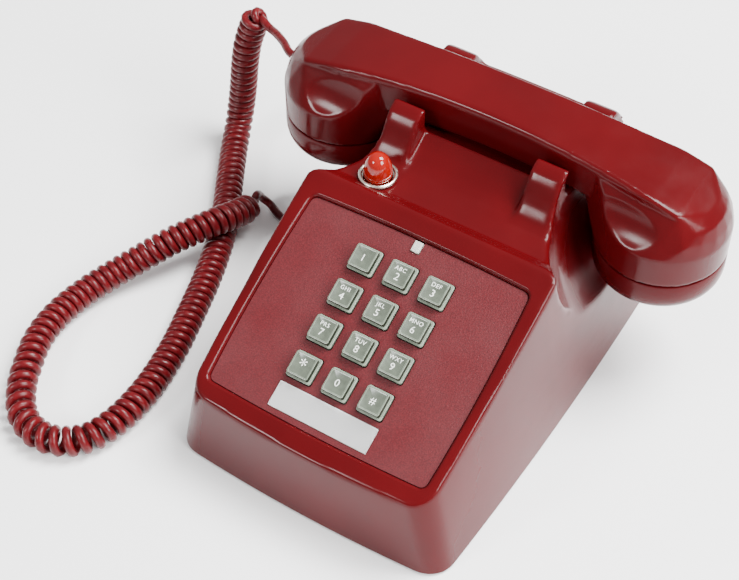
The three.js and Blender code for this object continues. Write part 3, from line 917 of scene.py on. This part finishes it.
# ---------- base ----------
@dataclass
class Housing:
    """The moulded body: drafted walls, sloping rim, shelf, four prongs, scoops and recess."""

    half: float = 70.4
    bulge: float = 2.1
    depth: float = 214
    corner: float = 12.7
    bottom: float = 1.5
    top: float = 113
    rim_half: float = 63
    front_lean: float = 2
    rear_lean: float = 17
    tilt: float = math.radians(25.4)
    face_y: float = 56.2
    face_z: float = 67.7
    rim: float = 2
    rim_round: float = 2.3
    plate_gap: float = 0.3
    prong_wide: float = 14.5
    wall: float = 3
    voxel: float = 1.1
    softening: int = 10

    def rim_height(self, y: float) -> float:
        """Returns the rim's height above the table at a distance from the front."""
        return min(self.face_z + self.rim + (y - self.face_y) * math.tan(self.tilt), 93.5)

    def block(self, inset: float, low: float = -3) -> Shape:
        """Makes the drafted block on the footprint.

        Args:
            inset: how far it is moved in on every side.
            low: the height of its underside.

        Returns:
            The closed mesh.
        """
        bm = panel(self.half - inset, inset, self.depth - inset, self.corner - inset, self.bulge,
                   segments=8, cuts=14)
        move(bm, Matrix.Translation((0, 0, low)))
        lift(bm, (0, 0, self.top + 3 - low))
        upright = [e for e in bm.edges if abs(e.verts[0].co.z - e.verts[1].co.z) > 1]
        bmesh.ops.subdivide_edges(bm, edges=upright, cuts=24, use_grid_fill=True)
        draft = 1 - self.rim_half / (self.half + self.bulge)

        def lean(co: Vector) -> Vector:
            """Leans a point of the wall inwards."""
            up = co.z / self.rim_height(max(co.y, 4))
            back = co.y / self.depth
            return Vector((co.x * (1 - draft * min(up, 1.25)),
                           co.y + (1 - back) * self.front_lean * up
                           - back * self.rear_lean * co.z / self.top, co.z))

        return shape_by(bm, lean)

    def side(self, inset: float) -> list[tuple[float, float]]:
        """Returns the side outline, lowered along the top by an inset."""
        rise = math.tan(self.tilt)
        top = self.rim - inset / math.cos(self.tilt)

        def on_slope(y: float) -> tuple[float, float]:
            """Returns the point of the sloping top at a distance from the front."""
            return y, self.face_z + top + (y - self.face_y) * rise

        i = inset
        return [(-20, -5), on_slope(-20), on_slope(106), (112, 90 - i), (124 + i, 90 - i),
                (128.6 + i, 92 - i), (132.6 + i, 96.2 - i), (135.8 + i, 101.2 - i),
                (138.2 + i, 105.8 - i), (141 + i, 109.2 - i), (144.8 + i, 111.3 - i),
                (149.4, 112 - i), (184, 110.8 - i), (191 - i, 110.8 - i), (194.6 - i, 109 - i),
                (197 - i, 105.4 - i), (240, 60), (240, -5)]

    def tools(self, grow: float) -> list[Shape]:
        """Makes what is cut from the block: cup rooms, handle trough, lip gap and carry recess.

        Args:
            grow: how far every cut is widened.

        Returns:
            The closed meshes.
        """
        made = []
        for side in (-1, 1):
            ball = fresh()
            bmesh.ops.create_uvsphere(ball, u_segments=64, v_segments=40, radius=1)
            move(ball, Matrix.Diagonal((45 + grow, 56 + grow, 57 + grow, 1))
                 @ Matrix.Rotation(math.pi / 2, 4, "X"))
            shape_by(ball, lambda co: co + Vector((0, 16 if co.y > 0.01 else -16, 0)))
            made.append(move(ball, Matrix.Translation((side * 88, 166, 98))))
        low = 94 - grow
        trough = panel(33, 147.5 - grow, 186.5 + grow, 5, segments=4)
        lift(trough, (0, 0, 240))
        turn = Matrix(((0, 0, 1, -120), (0, 1, 0, 0), (1, 0, 0, low + 33), (0, 0, 0, 1)))
        made.append(move(trough, turn))
        bmesh.ops.recalc_face_normals(trough, faces=trough.faces)
        inner = PRONG_X - self.prong_wide / 2 + grow
        sweep = [(122, 90.2), (128, 90.6), (134, 92.6), (140, 95.8), (144, 98.4), (147.5, 100.5),
                 (240, 100.5)]
        made.append(slab([*((y, z - grow) for y, z in sweep), (240, 170), (122, 170)], inner))
        back = self.depth - self.rear_lean * 58 / self.top
        made.append(brick(-30 - grow, 30 + grow, back - 17 - grow, 245, 58 - grow, 83 + grow))
        return made

    def slope(self) -> Matrix:
        """Returns the place of the sloping face: X across, Y up the slope, Z outwards."""
        return (Matrix.Translation((0, self.face_y, self.face_z))
                @ Matrix.Rotation(self.tilt, 4, "X"))

    def opening(self, gap: float) -> Shape:
        """Makes the tool that cuts the faceplate's hole and rounds its upper edge.

        Args:
            gap: how far the hole stands off the faceplate.

        Returns:
            The closed mesh.
        """
        edge = self.rim_round
        curve = [math.radians(15 * step) for step in range(7)]
        levels = [(-24.0, 0.0), *((self.rim - edge + edge * math.sin(a), edge * (1 - math.cos(a)))
                                  for a in curve[:-1]), (self.rim + 0.05, edge), (26.0, edge)]
        half, low, high, corner, bow = PLATE
        bm = stacked((height, panel(half + gap + wide, low - gap - wide, high + gap + wide,
                                    corner + gap + wide, bow)) for height, wide in levels)
        return move(bm, self.slope())

    def holes(self) -> list[Shape]:
        """Makes what pierces the skin: the lamp's hole and seat, the plungers' holes, the jacks'."""
        lamp = [rod(7.4, (*LAMP, 70), (*LAMP, 120)), rod(9.3, (*LAMP, 90), (*LAMP, 120), 48)]
        plungers = [rod(3.2, (s * PRONG_X, CRADLE_Y, 80), (s * PRONG_X, CRADLE_Y, 110))
                    for s in (-1, 1)]
        handset_jack = brick(-90, -60, 125.5, 141.5, 5.5, 16.5)
        line_jack = brick(18, 34, 200, 230, 8, 22)
        return [*lamp, *plungers, handset_jack, line_jack]

    def build(self, looks: Finishes) -> None:
        """Makes the housing."""
        work = Work(self.block(0)).with_(Join.KEEP, slab(self.side(0), 100))
        work.with_(Join.CUT, *self.tools(0))
        work.rounded(self.voxel, self.softening)
        hollow = Work(self.block(self.wall, -6)).with_(Join.KEEP, slab(self.side(self.wall), 100))
        hollow.with_(Join.CUT, *self.tools(self.wall))
        inside = fresh()
        inside.from_mesh(hollow.obj.data)
        hollow.drop()
        underside = brick(-100, 100, -30, 250, -20, self.bottom)
        work.with_(Join.CUT, underside, self.opening(self.plate_gap), inside, *self.holes())
        settle_piece(work.placed("housing_moulding", BASE_SHIFT, [looks["shell"]]), "base",
                     "shell", "housing")


@dataclass
class Face:
    """The faceplate with its label, its latch and the twelve keys."""

    housing: Housing
    thick: float = 2.6
    pitch: float = 18
    key_half: float = 6.2
    cap_half: float = 5.3
    rise: float = 4.6
    names: tuple[tuple[str, str, str], ...] = (
        ("key_1", "1", ""), ("key_2", "2", "ABC"), ("key_3", "3", "DEF"),
        ("key_4", "4", "GHI"), ("key_5", "5", "JKL"), ("key_6", "6", "MNO"),
        ("key_7", "7", "PRS"), ("key_8", "8", "TUV"), ("key_9", "9", "WXY"),
        ("key_star", "*", ""), ("key_0", "0", ""), ("key_pound", "#", ""))

    def spot(self, index: int) -> tuple[float, float]:
        """Returns where a key stands on the sloping face."""
        row, column = divmod(index, 3)
        return (column - 1) * self.pitch, (1.5 - row) * self.pitch

    def plate(self, looks: Finishes) -> None:
        """Makes the pebbled faceplate with its holes."""
        bm = panel(*PLATE)
        work = Work(lift(move(bm, Matrix.Translation((0, 0, -self.thick))), (0, 0, self.thick)))
        holes = []
        for i in range(12):
            u, v = self.spot(i)
            half = self.key_half + 0.4
            hole = panel(half, -half, half, 1.2, segments=3)
            move(hole, Matrix.Translation((u, v, -10)))
            holes.append(lift(hole, (0, 0, 20)))
        work.with_(Join.CUT, *holes, brick(-25.1, 25.1, -48.4, -36, -0.9, 5),
                   brick(-2.3, 2.3, 39.3, 60, -9, 5))
        work.bevelled(0.4, 2, 40)
        work.obj.data.transform(self.housing.slope())
        settle_piece(work.placed("faceplate_panel", BASE_SHIFT, [looks["pebble"]], 15), "base",
                     "pebble", "faceplate")

    def trim(self, looks: Finishes) -> None:
        """Makes the label card, its window and the latch."""
        sheet = (-24.8, 24.8, -48.1, -36.3)
        card = Work(brick(*sheet, -0.6, -0.35)).bevelled(0.05, 1)
        window = Work(brick(*sheet, -0.05, 0.45)).bevelled(0.18, 3)
        latch = Work(brick(-2, 2, 39.6, 44.7, -0.6, 1))
        latch.with_(Join.ADD, brick(-2, 2, 43.3, 44.7, -self.thick, 0.5)).bevelled(0.35, 3)
        for work, name, look, slot, node in (
                (card, "label_card_sheet", "card", "card", "label_card"),
                (window, "label_window_pane", "window", "clear", "label_window"),
                (latch, "faceplate_latch_tab", "clear", "clear", "faceplate_latch")):
            work.obj.data.transform(self.housing.slope())
            settle_piece(work.placed(name, BASE_SHIFT, [looks[look]]), "base", slot, node)

    def cap(self) -> Shape:
        """Makes one key: a stem, a square flange and a raised cap with a shallow dish."""
        wide, narrow, top = self.key_half, self.cap_half, self.rise
        steps = ((-7, wide - 1), (0, wide - 1), (0, wide - 0.2), (0.2, wide), (1.2, wide),
                 (1.4, wide - 0.2), (1.4, narrow + 0.1), (1.6, narrow), (top - 0.3, narrow),
                 (top - 0.1, narrow - 0.08), (top, narrow - 0.28), (top, narrow - 0.55),
                 (top - 0.15, narrow - 0.75))
        return stacked((height, panel(half, -half, half, 0.16 * half, segments=4))
                       for height, half in steps)

    def shade(self, face: bmesh.types.BMFace) -> int:
        """Returns which skin a face of a key shows: its face, a pale painted highlight on its flange and
        bevels, or painted shade on its cap sides.
        """
        height, up = face.calc_center_median().z, face.normal.z
        if height > 1.45 and up < 0.3:
            return 2
        return 0 if up > 0.97 and height > 2 else 1

    def legend(self, text: str, size: float, at: tuple[float, float], top: float) -> bpy.types.Mesh:
        """Makes one line of raised ink.

        Args:
            text: what it says.
            size: the height of its letters.
            at: its middle on the cap.
            top: the height of the cap's face.

        Returns:
            The mesh, in the key's own millimetres.
        """
        data = bpy.data.curves.new("legend", "FONT")
        data.body = text
        data.size = size
        data.align_x = "CENTER"
        data.align_y = "CENTER"
        data.extrude = 0.03
        data.offset = 0.01
        data.space_character = 1.12
        data.resolution_u = 4
        mesh = mesh_of("legend", data)
        mesh.transform(Matrix.Translation((*at, top)))
        return mesh

    def keys(self, looks: Finishes) -> None:
        """Makes the twelve keys with their white legends."""
        top = self.rise - 0.16
        # the key's skins: its face, a painted highlight on flange and bevels, painted shade on the cap
        # sides, and its ink
        skins = [looks[name] for name in ("keys", "key_painted_highlight", "key_painted_shade", "ink")]
        for index, (name, number, letters) in enumerate(self.names):
            bm = self.cap()
            for face in bm.faces:
                face.material_index = self.shade(face)
            solid = len(bm.faces)
            lines = [self.legend(number, 4.6 if letters or number != "*" else 8,
                                 (0, -1.5 if letters else -0.2), top)]
            if letters:
                lines.append(self.legend(letters, 2.7, (0, 2.3), top))
            for line in lines:
                bm.from_mesh(line)
                bpy.data.meshes.remove(line)
            bm.faces.ensure_lookup_table()
            for face in bm.faces[solid:]:
                face.material_index = 3
            bmesh.ops.remove_doubles(bm, verts=bm.verts, dist=1e-5)
            u, v = self.spot(index)
            move(bm, self.housing.slope() @ Matrix.Translation((u, v, 0)))
            settle_piece(Work(bm).placed(f"{name}_cap", BASE_SHIFT, skins),
                         f"{name}_button", "keys", name)

    def build(self, looks: Finishes) -> None:
        """Makes the whole face."""
        self.plate(looks)
        self.trim(looks)
        self.keys(looks)


@dataclass
class Fittings:
    """Small turned pieces: the lamp, the hook plungers, the feet and the screws."""

    shelf: float = 90.0

    def message_lamp(self, looks: Finishes) -> None:
        """Makes the nickel ring and the red lens in it."""
        z = self.shelf + 0.3
        wire = [(8.2 + 0.9 * math.cos(a), z + 1.1 + 0.9 * math.sin(a))
                for a in (math.radians(-60 + 30 * i) for i in range(9))]
        ring = [(6.9, z - 7), (7.1, z - 7), (7.1, z), (8.4, z), *wire, (7.5, z + 0.5),
                (6.9, z + 0.4), (6.9, z - 7)]
        settle_piece(Work(turned(ring, 72, (*LAMP, 0))).placed(
            "lamp_ring", BASE_SHIFT, [looks["nickel"]], 50), "base", "nickel", "lamp_bezel")
        z = self.shelf + 1.6
        egg = [(6.6 * math.cos(a) ** 0.82, z + 1.6 + 10.4 * math.sin(a))
               for a in (math.radians(6 * i) for i in range(15))]
        lens = [(0, z + 12), *reversed(egg), (6.6, z), (6, z - 0.6), (6, z - 7.3), (4.6, z - 7.3),
                (4.6, z + 3), (3.8, z + 6), (2.2, z + 8.4), (0, z + 9)]
        settle_piece(Work(turned(lens, 72, (*LAMP, 0))).placed(
            "lamp_dome", BASE_SHIFT, [looks["lens"]], 50), "base", "lens", "lamp_lens")

    def plungers(self, looks: Finishes) -> None:
        """Makes the two hook plungers in the cradle floor."""
        profile = [(0, 79), (4.4, 79), (4.4, 81.5), (2.9, 81.5), (2.9, 92.6), (2.6, 93.6),
                   (1.9, 94.2), (0.9, 94.4), (0, 94.4)]
        for side, where in ((-1, "left"), (1, "right")):
            settle_piece(Work(turned(profile, 40, (side * PRONG_X, CRADLE_Y, 0))).placed(
                f"plunger_{where}", BASE_SHIFT, [looks["clear"]]), "hook_plungers", "clear",
                f"hook_plunger_{where}")

    def feet(self, looks: Finishes) -> None:
        """Makes the four rubber feet."""
        profile = [(0, 0.5), (4.2, 0.5), (4.6, 0), (6.6, 0), (7.4, 0.3), (7.9, 0.9), (7.9, 1.6),
                   (7.4, 2.7), (0, 2.7)]
        for where, x, y in (("front_left", -54, 16), ("front_right", 54, 16),
                            ("rear_left", -54, 196), ("rear_right", 54, 196)):
            settle_piece(Work(turned(profile, 48, (x, y, 0))).placed(
                f"foot_{where}_pad", BASE_SHIFT, [looks["rubber"]]), "base", "rubber",
                f"foot_{where}")

    def screws(self, looks: Finishes) -> None:
        """Makes the two slotted screws that hold the base plate."""
        profile = [(0, 1.2), (2.6, 1.2), (3.3, 1.5), (3.6, 2), (3.6, 2.7), (1.5, 2.7), (1.5, 15),
                   (0, 15.6)]
        for where, y in (("front", 7), ("rear", 205)):
            work = Work(turned(profile, 40, (0, y, 0)))
            work.with_(Join.CUT, brick(-0.4, 0.4, y - 5, y + 5, 0, 1.8))
            settle_piece(work.placed(f"screw_{where}", BASE_SHIFT, [looks["zinc"]]), "base",
                         "steel", f"base_screw_{where}")

    def build(self, looks: Finishes) -> None:
        """Makes all the small pieces."""
        self.message_lamp(looks)
        self.plungers(looks)
        self.feet(looks)
        self.screws(looks)


# ---------- handset ----------
@dataclass
class Handset:
    """The handset: an arched handle, two cups in one moulding and two screwed caps."""

    top: float = 119
    thick: float = 23
    cup_x: float = 83
    cup_r: float = 30
    seam: float = 74
    rim: float = 90
    face: float = 57
    bore: float = 25.6
    reach: float = 95
    break_x: float = 82
    voxel: float = 0.85
    softening: int = 5

    def arch(self, x: float) -> float:
        """Returns the height of the handle's back at a distance from its middle."""
        inside = min(abs(x), self.break_x)
        return self.top - 4 * (inside / 65) ** 2 - 0.24 * (abs(x) - inside)

    def handle(self) -> Shape:
        """Makes the handle, a drafted bar that is bent into the arch."""
        right = [(11.5, 0), (13.7, 3), (15.2, 20.6), (13.8, 23)]
        outline = right + [(-y, z) for y, z in reversed(right)]
        bm = slab(outline, self.reach)
        along = [e for e in bm.edges if abs(e.verts[0].co.x - e.verts[1].co.x) > 1]
        bmesh.ops.subdivide_edges(bm, edges=along, cuts=56)

        def bend(co: Vector) -> Vector:
            """Widens the bar towards its ends, lifts it onto the arch and thins its last part."""
            x = abs(co.x)
            wide = co.y * (1 + 0.13 * (min(x, 78) / 60) ** 2)
            low = self.thick - co.z
            thin = max(0.0, min(1.0, (x - 62) / 20))
            return Vector((co.x, wide, self.arch(x) - low * (1 - 0.6 * thin)))

        return shape_by(bm, bend)

    def cup(self, side: int) -> Shape:
        """Makes one end of the shell, from its back to the round seam.

        Args:
            side: 1 for the earpiece, -1 for the mouthpiece.

        Returns:
            The closed mesh.
        """
        bm = fresh()
        for height in (self.seam, self.rim):
            bmesh.ops.create_circle(bm, segments=96, radius=self.cup_r,
                                    matrix=Matrix.Translation((0, 0, height)))
        corner = self.arch(self.reach)
        for s in (-1, 1):
            for x, y, z in ((-30, 14.6, 116), (-34, 12, 95.5), (12, 17, corner),
                            (12, 18.4, corner - 2.3)):
                bm.verts.new((x * side, s * y, z))
        for radius, height, spread in ((28.6, 96, 50), (26, 101.5, 36), (21.6, 106, 24)):
            for step in range(-3, 4):
                turn = math.radians(spread * step / 3)
                bm.verts.new((side * radius * math.cos(turn), radius * math.sin(turn), height))
        hull = bmesh.ops.convex_hull(bm, input=bm.verts[:])
        spare = [g for g in hull["geom_interior"] + hull["geom_unused"]
                 if isinstance(g, bmesh.types.BMVert) and g.is_valid]
        bmesh.ops.delete(bm, geom=spare, context="VERTS")
        bmesh.ops.recalc_face_normals(bm, faces=bm.faces)
        return move(bm, Matrix.Translation((side * self.cup_x, 0, 0)))

    def flank(self, side: int, front: int) -> Shape:
        """Makes the long ball that hollows one flank of a cup."""
        ball = fresh()
        bmesh.ops.create_uvsphere(ball, u_segments=96, v_segments=64, radius=1)
        place = Matrix.Translation((side * 72, front * 43.3, 110.5))
        return move(ball, place @ Matrix.Diagonal((50, 24.1, 24.1, 1)))

    def shell(self, looks: Finishes) -> None:
        """Makes the one-piece shell."""
        work = Work(self.handle()).with_(Join.ADD, self.cup(1), self.cup(-1))
        work.with_(Join.CUT, *(self.flank(side, front) for side in (-1, 1) for front in (-1, 1)))
        work.rounded(self.voxel, self.softening)
        bores = [rod(r, (s * self.cup_x, 0, 40), (s * self.cup_x, 0, self.seam + high), 96)
                 for s in (-1, 1) for r, high in ((self.bore, 7), (18, 14))]
        trim = brick(-140, 140, -50, 50, 40, self.seam)
        work.with_(Join.CUT, trim, *bores, brick(-123, -104, -4, 4, 86, 93))
        settle_piece(work.placed("handset_moulding", RECEIVER_SHIFT, [looks["shell"]]), "handset",
                     "shell", "handset_shell")

    def cap(self, side: int, name: str, rings: Sequence[tuple[float, int]],
            looks: Finishes) -> None:
        """Makes one screwed cap with its sound holes.

        Args:
            side: 1 for the earpiece, -1 for the mouthpiece.
            name: the solid that it replaces.
            rings: radius and number of each ring of holes.
            looks: the finishes.
        """
        f, s, r = self.face, self.seam, self.cup_r
        edge = [(r - 7 + 7 * math.sin(a), f + 9 - 9 * math.cos(a))
                for a in (math.radians(9 * i) for i in range(11))]
        outer = [(0, f + 1), (8, f + 0.9), (15, f + 0.6), (19, f + 0.2), *edge,
                 (r, s - 1), (r - 0.4, s - 0.35), (r - 1, s - 0.3)]
        inner = [(25.3, s - 0.3), (25.3, s + 4.5), (23.2, s + 4.5), (22.8, f + 6), (0, f + 4)]
        work = Work(turned(outer + inner, 96))
        holes = []
        for radius, count in rings:
            for i in range(count):
                a = i * math.tau / count
                x, y = radius * math.cos(a), radius * math.sin(a)
                holes.append(rod(1.2, (x, y, f - 10), (x, y, f + 12), 20))
        work.with_(Join.CUT, *holes)
        work.obj.data.transform(Matrix.Translation((side * self.cup_x, 0, 0)))
        settle_piece(work.placed(f"{name}_screwed", RECEIVER_SHIFT, [looks["shell"]], 50),
                     "handset", "shell", name)

    def build(self, looks: Finishes) -> None:
        """Makes the shell and both caps."""
        self.shell(looks)
        self.cap(1, "ear_cap", ((0, 1), (7, 6)), looks)
        self.cap(-1, "mouth_cap", ((5, 5), (12, 10)), looks)


# ---------- solids that stay ----------
class Insides:
    """The solids that stay as they are and only get their finish."""

    looks_of: dict[str, tuple[str, ...]] = {
        "zinc": ("base_plate", "dial_frame", "hook_bracket", "ringer_frame", "receiver_unit"),
        "steel": ("hook_lever", "ringer_clapper"),
        "black": ("keypad_module", "lamp_holder", "network_block", "volume_wheel", "handset_jack",
                  "line_jack", "transmitter_unit"),
        "board": ("keypad_board",),
        "brass": ("gong_left", "gong_right", "switch_contacts"),
        "copper": ("ringer_coil",),
        "clear": ("lamp_bulb", "cord_plug_base", "cord_plug_handset"),
    }

    def build(self, looks: Finishes) -> None:
        """Dresses each solid."""
        for look, names in self.looks_of.items():
            for name in names:
                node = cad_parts[name]
                for slot in node.material_slots:
                    slot.material = looks[look]
                if not node.material_slots:
                    node.data.materials.append(looks[look])
                log.info("%s is dressed in %s", name, look)


def main() -> None:
    """Builds the telephone, sub-assembly by sub-assembly."""
    logging.basicConfig(level=logging.INFO, format="%(name)s: %(message)s")
    looks = Finishes()
    Studio().build()
    CurlyCord().build(looks)
    housing = Housing()
    housing.build(looks)
    Face(housing).build(looks)
    Fittings().build(looks)
    Handset().build(looks)
    Insides().build(looks)


if __name__ == "__main__":
    main()
